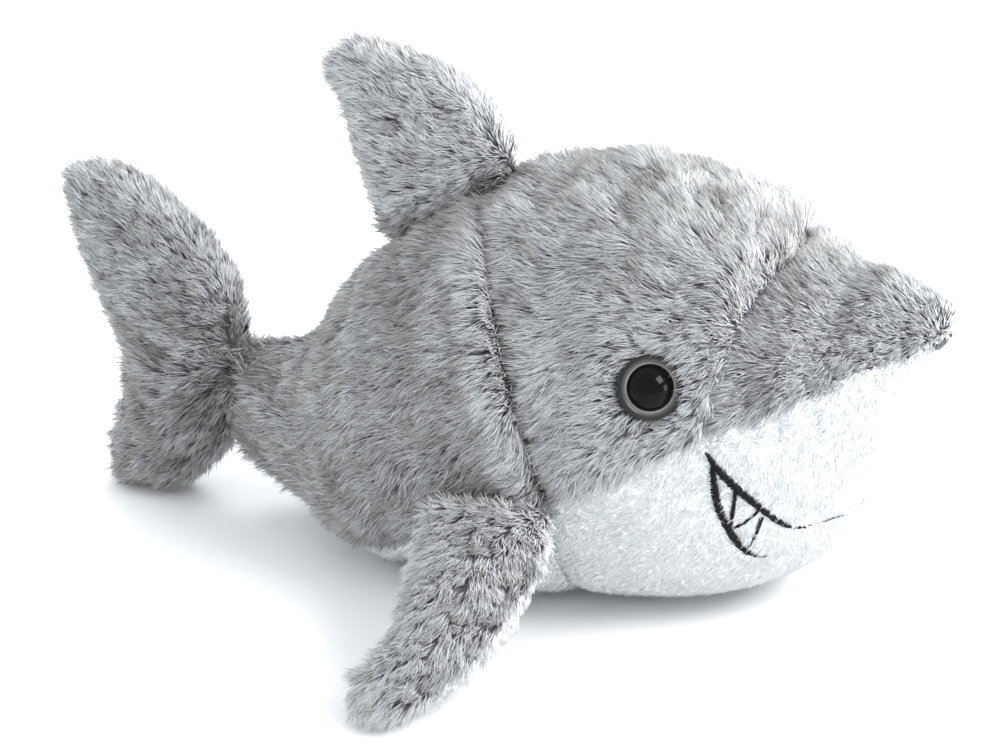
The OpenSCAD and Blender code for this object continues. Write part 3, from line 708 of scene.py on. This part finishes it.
def mottled_material(name, dark, light, scale, roughness, depth, **sockets):
    """A mottled finish: noise of that scale mixes two colours and raises the surface by depth."""
    material = plain_material(name, light, roughness, **sockets)
    nodes, links = material.node_tree.nodes, material.node_tree.links
    place = nodes.new("ShaderNodeTexCoord")
    noise = nodes.new("ShaderNodeTexNoise")
    noise.inputs["Scale"].default_value = scale
    noise.inputs["Detail"].default_value = 6.0
    ramp = nodes.new("ShaderNodeValToRGB")
    ramp.color_ramp.elements[0].position = 0.35
    ramp.color_ramp.elements[0].color = (*dark, 1)
    ramp.color_ramp.elements[1].position = 0.65
    ramp.color_ramp.elements[1].color = (*light, 1)
    bump = nodes.new("ShaderNodeBump")
    bump.inputs["Strength"].default_value = 0.6
    bump.inputs["Distance"].default_value = depth
    links.new(place.outputs["Object"], noise.inputs["Vector"])
    links.new(noise.outputs["Fac"], ramp.inputs["Fac"])
    links.new(ramp.outputs["Color"], nodes["Principled BSDF"].inputs["Base Color"])
    links.new(noise.outputs["Fac"], bump.inputs["Height"])
    links.new(bump.outputs["Normal"], nodes["Principled BSDF"].inputs["Normal"])
    return material


# The ring's grey is painted as light and shade along its profile: near black over the back, outer face and
# top as painted shadow, lighter down the inner slope to a pale band beside the pupil as painted
# reflection.
EYE_RING_PAINTED_SHADE_AND_REFLECTION = turned_material("eye_ring_plastic", [
    (0.00, (0.02, 0.02, 0.022)), (0.40, (0.010, 0.010, 0.011)), (0.68, (0.016, 0.016, 0.018)),
    (0.78, (0.05, 0.052, 0.054)), (0.86, (0.12, 0.124, 0.128)), (0.93, (0.33, 0.34, 0.345)),
    (0.97, (0.10, 0.10, 0.105))], 0.30, 0.1)
EYE_BLACK = turned_material("eye_black_gloss", [
    (0.0, (0.003, 0.003, 0.003)), (1.0, (0.001, 0.001, 0.001))], 0.04, 0.03, gloss=0.10)
EYE_POST = mottled_material("post_plastic", (0.012, 0.012, 0.013), (0.03, 0.03, 0.032), 600.0, 0.4,
                            0.00004)
WASHER_PLASTIC = mottled_material("washer_plastic", (0.80, 0.80, 0.76), (0.92, 0.92, 0.89), 300.0, 0.5,
                                0.00006)
outer, cup = EYE_D / 2, PUPIL_D / 2 + 0.1 * MM
back = np.array([[POST_D / 2 + 0.05 * MM, CUP_Z], [POST_D / 2 + 0.05 * MM, 0.25 * MM]])
rim = np.array([
    [outer - 1.0 * MM, 0.25 * MM], [outer - 0.2 * MM, 0.6 * MM], [outer, 1.1 * MM],
    [outer - 0.15 * MM, 1.6 * MM], [outer - 0.6 * MM, 1.95 * MM], [outer - 1.2 * MM, 1.8 * MM],
    [cup, 1.3 * MM]])
ring_profile = np.concatenate([back, curve(rim, np.linspace(0, len(rim) - 1, 31)),
                               [[cup, CUP_Z]]])
ball = ((PUPIL_D / 2) ** 2 + DOME_RISE ** 2) / (2 * DOME_RISE)
half = np.arcsin(PUPIL_D / 2 / ball)
fall = half * np.linspace(1, 0.002, 26)
dome_profile = np.concatenate([
    [[0.02 * MM, 0.0], [PUPIL_D / 2, 0.0]],
    np.stack([ball * np.sin(fall), DOME_FOOT + ball * (np.cos(fall) - np.cos(half))], axis=-1)])
eye_axis = unit(skin_out(EYE_U, EYE_ANGLE) + EYE_TILT)
for side, hand in (("right", np.array([1.0, 1.0, 1.0])), ("left", np.array([1.0, -1.0, 1.0]))):
    origin, axis = (eye_at + eye_axis * EYE_LIFT) * hand, eye_axis * hand
    ring_piece = lathe(f"eye_ring_plastic_{side}", ring_profile, origin, axis)
    dome = lathe(f"eye_dome_gloss_{side}", dome_profile, origin + axis * (CUP_Z + 0.02 * MM), axis,
                 capped=True)
    for piece, material, slot_name, node in ((ring_piece, EYE_RING_PAINTED_SHADE_AND_REFLECTION, "eye_ring", "eye_ring"),
                                             (dome, EYE_BLACK, "eye_black", "eye_dome")):
        piece.data.materials.append(material)
        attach(piece, "torso")
        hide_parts(f"{node}_{side}")
    for node, material in (("eye_post", EYE_POST), ("eye_washer", WASHER_PLASTIC)):
        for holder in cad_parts[f"{node}_{side}"].material_slots:
            holder.material = material

# Mouth and teeth: black embroidery thread laid in satin stitch through the cheek cloth, each
# stitch across the line. The upper line thins out to a single thread round the muzzle.
UPPER_LIP = [[8.35, 179], [8.60, 186], [9.00, 197], [9.45, 211], [9.90, 221], [10.25, 232], [10.42, 250]]
LOWER_LIP = [[8.43, 182], [8.48, 192], [8.60, 202], [8.75, 212], [8.95, 219], [9.12, 221]]
TEETH = [
    [[8.72, 188.5], [8.68, 195], [8.61, 203]],
    [[8.68, 202], [8.84, 201], [9.00, 199]],
    [[9.05, 202], [8.95, 207], [8.83, 212]],
    [[8.87, 213], [8.96, 214], [9.05, 213]],
]
LIP_WIDE = 1.6 * MM
TOOTH_WIDE = [1.3 * MM, 0.9 * MM, 1.0 * MM, 0.5 * MM]
STITCH_PITCH = 0.30 * MM
THREAD_R = 0.21 * MM
# A line wider than this is full satin stitch and stands proud; a narrower one is a lone thread.
SATIN_WIDE = 0.5 * MM
SATIN_LIFT = 0.75 * MM
THREAD_LIFT = 0.40 * MM


def stitch_line(half_line, wide):
    """Points each STITCH_PITCH along a line on the skin, with the outward way and width there.
    wide(share) gives the width at a share of the line."""
    fine = np.linspace(0, len(half_line) - 1, 400)
    q = curve(half_line, fine)
    at = skin(q[:, 0], q[:, 1])
    run = np.concatenate([[0], np.cumsum(np.linalg.norm(np.diff(at, axis=0), axis=-1))])
    steps = np.linspace(0, run[-1], int(run[-1] / STITCH_PITCH) + 1)
    place = np.interp(steps, run, fine)
    q = curve(half_line, place)
    return skin(q[:, 0], q[:, 1]), skin_out(q[:, 0], q[:, 1]), wide(place / (len(half_line) - 1))


def whole(half_line):
    """A half line carried on to the other side of the jaw."""
    return half_line + [[u, 540 - angle] for u, angle in reversed(half_line)]


def stitches(name, lines, node, seed):
    """Satin stitches: one arched thread across the line at each of its points, its ends drawn
    into the cloth, with small slips in place and slant."""
    rng = np.random.default_rng(seed)
    at, up, wide = (np.concatenate(v) for v in zip(*lines))
    along = unit(np.concatenate([np.gradient(line[0], axis=0) for line in lines]))
    side = unit(np.cross(along, up))
    count = len(at)
    slant = np.radians(18 + 7 * rng.normal(size=count))[:, None]
    way = side * np.cos(slant) + along * np.sin(slant)
    half_length = (wide / 2 * rng.uniform(0.78, 1.18, count))[:, None, None]
    share = np.array([-0.98, -0.75, -0.4, 0.0, 0.4, 0.75, 0.98])
    lift = np.where(wide > SATIN_WIDE, SATIN_LIFT, THREAD_LIFT)[:, None]
    arch = lift + 0.24 * wide[:, None] * (1 - share ** 2) - 0.30 * MM * np.abs(share) ** 6
    arch = arch + 0.08 * MM * rng.normal(size=(count, 1))
    centre = at[:, None] + way[:, None] * half_length * share[:, None] + up[:, None] * arch[..., None]
    thick = THREAD_R * np.sqrt(1.02 - share ** 2)
    flat = np.cross(way, up)
    turn = np.arange(6) * np.pi / 3
    ring = (flat[:, None] * np.cos(turn)[None, :, None] + up[:, None] * np.sin(turn)[None, :, None])
    points = centre[:, :, None] + ring[:, None] * thick[None, :, None, None]
    rows, cols = len(share), len(turn)
    body = grid_faces(rows, cols, close_cols=True)
    ends = np.stack([np.arange(cols)[::-1], (rows - 1) * cols + np.arange(cols)])
    first = (np.arange(count) * rows * cols)[:, None, None]
    faces = [(body[None] + first).reshape(-1, 4), (ends[None] + first).reshape(-1, cols)]
    piece = mesh_object(name, points.reshape(-1, 3), faces)
    piece.data.materials.append(STITCH_THREAD)
    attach(piece, "torso")
    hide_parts(node)
    return piece


def upper_width(share):
    """The upper line's width: fine at the corners, full along the cheek, a thread in front."""
    out = np.abs(2 * share - 1)
    return np.interp(out, [0, 0.43, 0.58, 0.88, 0.97, 1.0], [0.16, 0.18, 1.0, 1.3, 0.9, 0.3]) * LIP_WIDE


def lower_width(share):
    """The lower line's width: full at the corner, fine at its front end."""
    return np.interp(share, [0, 0.1, 0.5, 0.75, 0.85, 1.0], [0.9, 1.15, 1.25, 0.9, 0.4, 0.2]) * LIP_WIDE


STITCH_THREAD = mottled_material("stitch_thread", (0.002, 0.002, 0.003), (0.012, 0.012, 0.015), 1500.0,
                                 0.5, 0.00005, Specular_IOR_Level=0.12)
upper_line = [stitch_line(whole(UPPER_LIP), upper_width)]
lower_lines = [stitch_line(LOWER_LIP, lower_width)]
tooth_lines = [stitch_line(tooth, lambda share, wide=wide: wide * (1 - 0.35 * share))
               for tooth, wide in zip(TEETH, TOOTH_WIDE)]
LEFT = np.array([1.0, -1.0, 1.0])
lower_lines += [(at * LEFT, up * LEFT, wide) for at, up, wide in lower_lines]
tooth_lines += [(at * LEFT, up * LEFT, wide) for at, up, wide in tooth_lines]
stitches("mouth_upper_stitches", upper_line, "upper_lip", 81)
stitches("mouth_lower_stitches", lower_lines, "lower_lip", 82)
stitches("teeth_stitches", tooth_lines, "teeth", 83)
sewn_lines = upper_line + lower_lines + tooth_lines
mouth_at = np.concatenate([at for at, up, wide in sewn_lines])
mouth_wide = np.concatenate([wide for at, up, wide in sewn_lines])
mouth_reach = np.where(mouth_wide > SATIN_WIDE, 0.5 * mouth_wide + 0.1 * MM, 0.0)


def clear_of_mouth(at):
    """Which strands don't rise through the stitches."""
    held = np.ones(len(at), bool)
    for first in range(0, len(at), 4000):
        gap = np.linalg.norm(at[first:first + 4000, None] - mouth_at[None], axis=-1)
        held[first:first + 4000] = (gap > mouth_reach).all(axis=1)
    return held


# Cheeks, jaw and chest: two short-pile white panels, joined by a seam down the middle.
grid, s, t = panel_grid(
    lambda s, t: ((u := gill_u(1) + (JAW_END - gill_u(1)) * s), white_edge(u) + (270 - white_edge(u)) * t),
    84, 48)
gill_end, _, edge, middle = to_edge(grid)
jaw_side = stuffed(blown_out(grid, 1.5, 0.5 * MM), [
    (gill_end, 0.8 * MM, 3 * MM),
    (edge, 0.5 * MM, 2 * MM),
    (middle, 0.5 * MM, 2 * MM),
], 0.35 * MM, 14)
for side, shape in (("right", jaw_side), ("left", mirrored(jaw_side))):
    sewn_panel(f"cheek_cloth_{side}", shape, WHITE_BACKING, f"jaw_panel_{side}")
    lay_pile(f"cheek_pile_{side}", shape, rearward(shape, 0.2), 6.0e6, 1.8 * MM, 0.40 * MM,
             64, 0.3, 1.8 * MM, 51, WHITE_PILE, "torso", keep=clear_of_mouth)

# Belly: one white panel behind the cheeks, flat where the toy rests on it.
grid, s, t = panel_grid(
    lambda s, t: ((u := gill_u(1) * s), white_edge(u) * (1 - t) + (540 - white_edge(u)) * t), 64, 72)
tail_end, gill_end, right_edge, left_edge = to_edge(grid)
belly = stuffed(blown_out(grid, 1.5, 0.8 * MM), [
    (tail_end, 1.6 * MM, 4 * MM),
    (gill_end, 0.8 * MM, 3 * MM),
    (right_edge, 0.9 * MM, 4 * MM),
    (left_edge, 0.9 * MM, 4 * MM),
], 0.4 * MM, 15)
sewn_panel("belly_cloth", belly, WHITE_BACKING, "belly_panel")
lay_pile("belly_pile", belly, rearward(belly), 4.0e6, 2.2 * MM, 0.42 * MM, 64, 0.3,
         1.8 * MM, 61, WHITE_PILE, "torso")

# Body filling: loose siliconised polyester fibre, blown in through the belly seam. It springs out
# against the cloth, lumpy where the clumps of fibre meet.
FIBRE_FILL = mottled_material("polyester_fibre", (0.80, 0.82, 0.84), (0.97, 0.98, 0.98), 240.0, 0.9,
                              0.0008, Sheen_Weight=0.5)
FILL_INSET = 2.6 * MM


def filling(name, grid, node, body, seed):
    """A closed lump of fibre through a grid of rings, lumpy all over, its two ends capped."""
    inward = outward(np.concatenate([grid[:, -1:], grid, grid[:, :1]], axis=1))[:, 1:-1]
    lumps = 0.35 * MM * waves(grid, 12 * MM, seed) + 0.2 * MM * waves(grid, 5 * MM, seed + 1)
    shape = grid + inward * lumps[..., None]
    rows, cols = shape.shape[:2]
    ends = np.stack([np.arange(cols), (rows * cols - 1) - np.arange(cols)])
    faces = [grid_faces(rows, cols, close_cols=True), ends]
    piece = mesh_object(name, shape.reshape(-1, 3), faces)
    piece.data.materials.append(FIBRE_FILL)
    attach(piece, body)
    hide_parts(node)
    return piece


u, angle = np.meshgrid(np.linspace(0.9, LAST - 1.4, 70), np.linspace(0, 360, 72, endpoint=False),
                       indexing="ij")
around = skin(u, angle) - skin_out(u, angle) * FILL_INSET
around[..., 2] = np.maximum(around[..., 2], FILL_INSET)
filling("body_fibre", around, "body_filling", "torso", 91)

# Fins: two panels of the pile cloth sewn round their rim, turned and lightly stuffed. A fin's
# table runs from root to tip: height, middle of the chord, half chord, half thickness.
ROOT_T = 4.0 * MM


def fin_point(table, v, angle):
    """A fin's surface in its own axes (chord, span, thickness): sections are rounded ovals."""
    s = curve(table, v)
    angle = np.radians(angle)
    return np.stack([s[..., 1] + s[..., 2] * np.cos(angle), s[..., 0] + 0 * angle,
                     s[..., 3] * signed_pow(np.sin(angle), 0.9)], axis=-1)


def fin_side(table, axes, side, rows, cols, start=0.0):
    """One panel of a fin, from its front edge to its rear edge, in place."""
    v, angle = np.meshgrid(np.linspace(start, len(table) - 1.02, rows), np.linspace(0, 180, cols),
                           indexing="ij")
    local = fin_point(table, v, side * angle)
    grid = axes[0] + local @ np.array(axes[1:])
    return grid if side > 0 else grid[:, ::-1]


def fin_seams(grid, lump, seed, root):
    """A stuffed fin panel: rim seams with small puckers across them, and a gathered root."""
    low, _, front, rear = to_edge(grid)
    near = np.minimum(front, rear)
    along = low / (5.5 * MM) * 2 * np.pi
    pucker = 0.30 * MM * np.sin(along + 2 * waves(grid, 20 * MM, seed))
    pucker = pucker * np.exp(-(near - 2 * MM).clip(0) / (4 * MM))
    gather = 0.5 * MM * np.sin(front / (4.5 * MM) * 2 * np.pi) * np.exp(-low / (7 * MM)) if root else 0
    shape = stuffed(blown_out(grid, 2.0, 1.2 * MM), [(near, 0.5 * MM, 2.2 * MM)], lump, seed)
    return shape + outward(shape) * ((pucker + gather) * np.clip(near / (2 * MM), 0, 1))[..., None]


def fin_panel(name, shape, comb, body, node, pile, tone, seed, lean=64, material=GREY_PILE,
              backing=GREY_BACKING, density=7.8e6, width=PILE_WIDTH, clump=0.7):
    """Cloth and pile of one side of a fin."""
    sewn_panel(f"{name}_cloth", shape, backing, node, body)
    lay_pile(f"{name}_pile", shape, comb, density, pile, width, lean, clump, 2.6 * MM, seed,
             material, body, tone=tone)


def fin_core(table, axes, rows=26, cols=36):
    """The fibre in a fin: its sections drawn in from the rim and from both faces."""
    v, angle = np.meshgrid(np.linspace(0.8, len(table) - 2.2, rows),
                           np.linspace(0, 360, cols, endpoint=False), indexing="ij")
    s = curve(table, v)
    middle = np.stack([s[..., 1], s[..., 0], 0 * v], axis=-1)
    local = middle + (fin_point(table, v, angle) - middle) * np.array([0.84, 1.0, 0.66])
    return axes[0] + local @ np.array(axes[1:])


# Dorsal fin: sewn into the seam along the back, leaning to the rear, with its pile brushed from
# the front of its base up to the tip.
def back_line(u):
    """The top of the back at section u."""
    return skin(u, 90.0)


DORSAL_BASE = 34 * MM
DORSAL_TALL = 40 * MM
DORSAL_THICK = 15 * MM
FIN_GAP = 0.7 * MM
DORSAL_SPAN_U = (4.05, 5.72)
DORSAL = np.array([
    [0.00, 0.01, 0.50, ROOT_T / 2 / DORSAL_THICK],
    [0.10, 0.05, 0.52, 0.38],
    [0.22, 0.08, 0.51, 0.47],
    [0.43, 0.10, 0.46, 0.50],
    [0.64, 0.09, 0.37, 0.45],
    [0.78, 0.04, 0.29, 0.38],
    [0.90, -0.03, 0.22, 0.29],
    [0.97, -0.05, 0.13, 0.18],
    [1.00, -0.05, 0.02, 0.04],
]) * np.array([DORSAL_TALL, DORSAL_BASE, DORSAL_BASE, DORSAL_THICK])
rear, front = back_line(DORSAL_SPAN_U[0]), back_line(DORSAL_SPAN_U[1])
along = unit(front - rear)
upward = np.array([-along[2], 0.0, along[0]])
swell = ((back_line(np.linspace(*DORSAL_SPAN_U, 11)) - rear) @ upward).max()
dorsal_axes = [(rear + front) / 2 + upward * (swell + FIN_GAP), along, upward, np.array([0.0, 1.0, 0.0])]
for side, way in (("right", -1), ("left", 1)):
    shape = fin_seams(fin_side(DORSAL, dorsal_axes, way, 40, 44), 0.45 * MM, 16, True)
    comb = np.broadcast_to(unit(0.85 * upward - 0.55 * along), shape.shape)
    low, _, first, last = to_edge(shape)
    ahead = last if way < 0 else first
    # Tone: lighter along the front edge as painted highlight, darker near the base as painted shade where
    # the fin meets the back.
    tone = (0.95 + 0.16 * waves(shape, 8 * MM, 6) + 0.25 * np.exp(-ahead / (8 * MM))
            - 0.50 * np.exp(-low / (5 * MM)))
    fin_panel(f"dorsal_{side}", shape, comb, "dorsal", f"dorsal_panel_{side}", 4.6 * MM, tone, 71,
              lean=68)
filling("dorsal_fibre", fin_core(DORSAL, dorsal_axes), "dorsal_filling", "dorsal", 92)

# Tail fin: an upright crescent, pinched at its front where it is gathered into the tail seam.
FLUKE_REACH = 41 * MM
FLUKE_TALL = 75 * MM
FLUKE_THICK = 16 * MM
FLUKE_SHARES = np.array([
    [0.000, 0.64, 0.68, 0.02],
    [0.015, 0.54, 0.77, 0.18],
    [0.060, 0.37, 0.82, 0.33],
    [0.140, 0.20, 0.82, 0.43],
    [0.240, 0.06, 0.77, 0.49],
    [0.370, 0.00, 0.73, 0.50],
    [0.500, 0.00, 0.76, 0.50],
    [0.640, 0.02, 0.85, 0.50],
    [0.760, 0.13, 0.93, 0.47],
    [0.860, 0.30, 0.98, 0.42],
    [0.940, 0.50, 1.00, 0.35],
    [0.985, 0.66, 0.96, 0.20],
    [1.000, 0.80, 0.84, 0.02],
])
FLUKE = np.stack([
    FLUKE_SHARES[:, 0] * FLUKE_TALL,
    -(FLUKE_SHARES[:, 1] + FLUKE_SHARES[:, 2]) / 2 * FLUKE_REACH,
    (FLUKE_SHARES[:, 2] - FLUKE_SHARES[:, 1]) / 2 * FLUKE_REACH,
    FLUKE_SHARES[:, 3] * FLUKE_THICK,
], axis=-1)
fluke_axes = [np.array([SEAM_X - FIN_GAP, 0, 0]), np.array([1.0, 0, 0]), np.array([0, 0, 1.0]),
              np.array([0, 1.0, 0])]
PINCH = 11 * MM
TAIL_SEAM_Z = 28 * MM


def pinched(shape):
    """The tail narrowed toward its seam, where both panels are gathered together."""
    behind = np.clip((SEAM_X - FIN_GAP - shape[..., 0]) / PINCH, 0, 1)
    drawn = shape.copy()
    drawn[..., 1] *= ROOT_T / FLUKE_THICK + (1 - ROOT_T / FLUKE_THICK) * np.sin(np.pi / 2 * behind)
    return drawn


for side, way in (("right", -1), ("left", 1)):
    shape = pinched(fin_side(FLUKE, fluke_axes, way, 64, 48, start=0.02))
    shape = fin_seams(shape, 0.5 * MM, 17, False)
    from_seam = shape - np.array([SEAM_X + 6 * MM, 0, TAIL_SEAM_Z])
    gather = 0.7 * MM * np.sin(np.arctan2(from_seam[..., 2], -from_seam[..., 0]) * 14)
    gather = gather * np.exp(-((np.linalg.norm(from_seam, axis=-1) - 8 * MM).clip(0) / (9 * MM)) ** 2)
    shape = shape + outward(shape) * gather[..., None]
    shape[..., 2] = np.maximum(shape[..., 2], 0.2 * MM)
    comb = unit(from_seam * np.array([1.0, 0.2, 1.0]) + np.array([-12 * MM, 0, 0]))
    from_rim = np.minimum(*to_edge(shape)[2:])
    # Tone: lighter toward the top of the fin and along its rims as painted highlight, darker near the tail
    # seam as painted shade.
    tone = (0.40 + 0.30 * np.clip((shape[..., 2] - 30 * MM) / (20 * MM), 0, 1)
            + 0.14 * waves(shape, 10 * MM, 7) + 0.25 * np.exp(-from_rim / (4 * MM))
            - 0.30 * np.exp(-np.linalg.norm(from_seam, axis=-1) / (10 * MM)))
    fin_panel(f"tail_{side}", shape, comb, "tail", f"tail_panel_{side}", 4.5 * MM, tone, 72, lean=68)
filling("tail_fibre", pinched(fin_core(FLUKE, fluke_axes, 40)), "tail_filling", "tail", 93)

# Pectoral fins: sewn into the side seam where grey meets white, sloping down and outward to
# touch the floor. Grey pile on top, short white pile underneath.
PECTORAL_SPAN = 53 * MM
PECTORAL_CHORD = 29 * MM
PECTORAL_THICK = 14 * MM
PECTORAL_SLOPE = np.radians(28)
PECTORAL_ROOT_U = (5.22, 6.72)
PECTORAL_ANGLE = 190.0
PECTORAL = np.array([
    [0.00, 0.02, 0.50, ROOT_T / 2 / PECTORAL_THICK],
    [0.08, 0.05, 0.51, 0.36],
    [0.18, 0.09, 0.51, 0.46],
    [0.36, 0.13, 0.47, 0.50],
    [0.56, 0.11, 0.42, 0.48],
    [0.74, 0.01, 0.37, 0.42],
    [0.87, -0.10, 0.31, 0.35],
    [0.96, -0.13, 0.19, 0.22],
    [1.00, -0.13, 0.02, 0.04],
]) * np.array([PECTORAL_SPAN, PECTORAL_CHORD, PECTORAL_CHORD, PECTORAL_THICK])
root_line = skin(np.linspace(*PECTORAL_ROOT_U, 11), PECTORAL_ANGLE)
along = unit(root_line[-1] - root_line[0])
outward_way = unit(np.array([-0.10, -np.cos(PECTORAL_SLOPE), -np.sin(PECTORAL_SLOPE)]))
thick_way = unit(np.cross(outward_way, along))
span_way = np.cross(along, thick_way)
swell = ((root_line - root_line[0]) @ span_way).max()
pectoral_axes = [(root_line[0] + root_line[-1]) / 2 + span_way * (swell + FIN_GAP + ROOT_T / 4),
                 along, span_way, thick_way]
core = fin_core(PECTORAL, pectoral_axes)
filling("pectoral_fibre_right", core, "pectoral_filling_right", "right_pectoral", 94)
filling("pectoral_fibre_left", mirrored(core), "pectoral_filling_left", "left_pectoral", 94)
for layer, way, seed, pile in (("top", 1, 73, 4.6 * MM), ("under", -1, 74, 2.2 * MM)):
    grey = layer == "top"
    right = fin_seams(fin_side(PECTORAL, pectoral_axes, way, 48, 40), 0.4 * MM, 18, True)
    comb_right = np.broadcast_to(unit(span_way - 0.12 * along), right.shape)
    first, last = to_edge(right)[2:]
    ahead = first if way < 0 else last
    # Lighter toward the leading edge: partly the white underside pile showing at the rim, partly painted
    # highlight where the light falls.
    tone_right = 0.82 + 0.16 * waves(right, 8 * MM, 8) + 0.40 * np.exp(-ahead / (12 * MM))
    for side in ("right", "left"):
        shape = right if side == "right" else mirrored(right)
        comb = comb_right if side == "right" else mirrored(comb_right)
        tone = tone_right if side == "right" else flip(tone_right)
        fin_panel(f"pectoral_{layer}_{side}", shape, comb, f"{side}_pectoral",
                  f"pectoral_{layer}_{side}", pile, tone if grey else 0.5, seed,
                  material=GREY_PILE if grey else WHITE_PILE,
                  backing=GREY_BACKING if grey else WHITE_BACKING,
                  density=7.8e6 if grey else 4.5e6, width=PILE_WIDTH if grey else 0.42 * MM)
